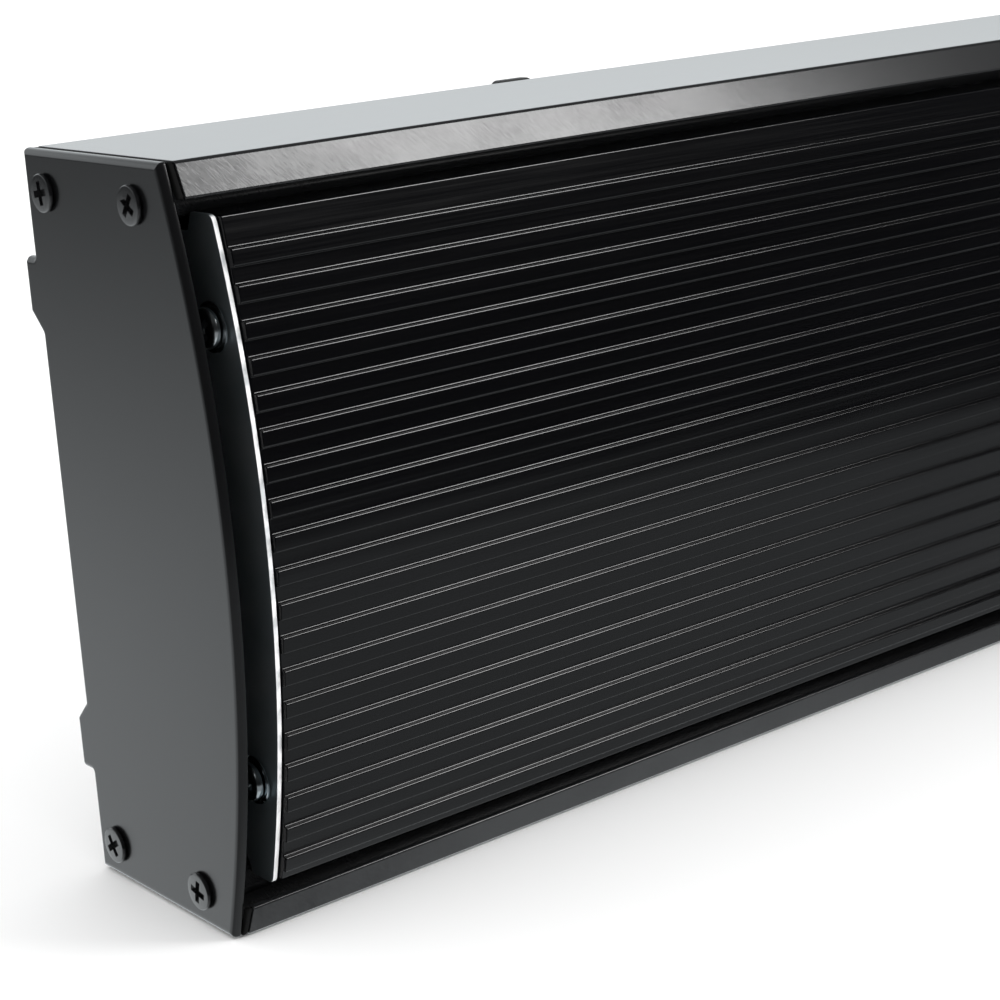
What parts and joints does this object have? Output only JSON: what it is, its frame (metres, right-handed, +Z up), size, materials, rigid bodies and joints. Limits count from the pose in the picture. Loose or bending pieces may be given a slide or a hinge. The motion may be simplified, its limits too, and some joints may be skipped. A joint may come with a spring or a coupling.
{
  "type": "radiant strip heater",
  "caption": "Long black electric strip heater with a bowed ribbed emitter panel, screwed end caps and tilting wall brackets on rear rails.",
  "frame": {"origin": "centre of the heater's underside, at the middle of its overall length and depth", "axes": "+Z up, -Y the way the emitter faces, X along the heater's length"},
  "size_m": [1.003, 0.1252, 0.185],
  "materials": {
    "housing_black": "satin black anodised extrusion",
    "cap_black": "satin black powder coat",
    "panel_black": "black anodised, semi-gloss",
    "zinc_plate": "bluish zinc plate, semi-bright",
    "zinc_screw": "bright zinc plate",
    "black_screw": "glossy black",
    "bracket_black": "satin black powder coat",
    "element_sheath": "heat-tinted steel sheath",
    "bright_sheet": "bright aluminised sheet",
    "insulation": "matt ceramic fibre",
    "ceramic": "glazed steatite",
    "black_plastic": "matt nylon",
    "seal_rubber": "matt",
    "brass": "bright brass",
    "wire_brown": "satin insulation",
    "wire_blue": "satin insulation",
    "wire_green": "satin insulation"
  },
  "bodies": {
    "heater": {"housing": "housing_black", "left_end_cap": "cap_black", "left_cap_screw_front_lower": "black_screw", "left_cap_screw_front_upper": "black_screw", "left_cap_screw_rear_lower": "black_screw", "left_cap_screw_rear_upper": "black_screw", "left_panel_bracket": "zinc_plate", "left_bracket_washer_lower": "zinc_screw", "left_bracket_screw_lower": "zinc_screw", "left_back_screw_lower": "black_screw", "left_bracket_washer_upper": "zinc_screw", "left_bracket_screw_upper": "zinc_screw", "left_back_screw_upper": "black_screw", "right_end_cap": "cap_black", "right_cap_screw_front_lower": "black_screw", "right_cap_screw_front_upper": "black_screw", "right_cap_screw_rear_lower": "black_screw", "right_cap_screw_rear_upper": "black_screw", "right_panel_bracket": "zinc_plate", "right_bracket_washer_lower": "zinc_screw", "right_bracket_screw_lower": "zinc_screw", "right_back_screw_lower": "black_screw", "right_bracket_washer_upper": "zinc_screw", "right_bracket_screw_upper": "zinc_screw", "right_back_screw_upper": "black_screw", "emitter_panel": "panel_black", "heating_element_lower": "element_sheath", "heating_element_upper": "element_sheath", "reflector_tray": "bright_sheet", "insulation_board": "insulation", "cable_gland_body": "black_plastic", "cable_gland_lock_nut": "black_plastic", "cable_gland_dome_nut": "black_plastic", "cable_gland_seal": "seal_rubber", "terminal_block": "ceramic", "thermal_cutout": "black_plastic", "earth_stud": "brass", "earth_nut": "brass", "live_wire": "wire_brown", "neutral_wire": "wire_blue", "earth_wire": "wire_green"},
    "left_strap": {"left_rail_strap": "bracket_black", "left_rail_bolt_lower": "zinc_screw", "left_rail_nut_lower": "zinc_screw", "left_rail_bolt_upper": "zinc_screw", "left_rail_nut_upper": "zinc_screw", "left_pivot_bolt": "zinc_screw", "left_pivot_nut": "zinc_screw"},
    "left_plate": {"left_wall_plate": "bracket_black"},
    "right_strap": {"right_rail_strap": "bracket_black", "right_rail_bolt_lower": "zinc_screw", "right_rail_nut_lower": "zinc_screw", "right_rail_bolt_upper": "zinc_screw", "right_rail_nut_upper": "zinc_screw", "right_pivot_bolt": "zinc_screw", "right_pivot_nut": "zinc_screw"},
    "right_plate": {"right_wall_plate": "bracket_black"}
  },
  "joints": [
    {"name": "left_strap_slide", "type": "slide", "parent": "heater", "child": "left_strap", "axis": [1, 0, 0], "range_m": [-0.07, 0.2]},
    {"name": "left_plate_tilt", "type": "hinge", "parent": "left_strap", "child": "left_plate", "pos_m": [-0.343, 0.0436, 0.0925], "axis": [1, 0, 0], "range_deg": [-45, 45]},
    {"name": "right_strap_slide", "type": "slide", "parent": "heater", "child": "right_strap", "axis": [-1, 0, 0], "range_m": [-0.07, 0.2]},
    {"name": "right_plate_tilt", "type": "hinge", "parent": "right_strap", "child": "right_plate", "pos_m": [0.343, 0.0436, 0.0925], "axis": [1, 0, 0], "range_deg": [-45, 45]}
  ],
  "couplings": [
    {"joint": "right_plate_tilt", "follows": "left_plate_tilt", "ratio": 1}
  ]
}
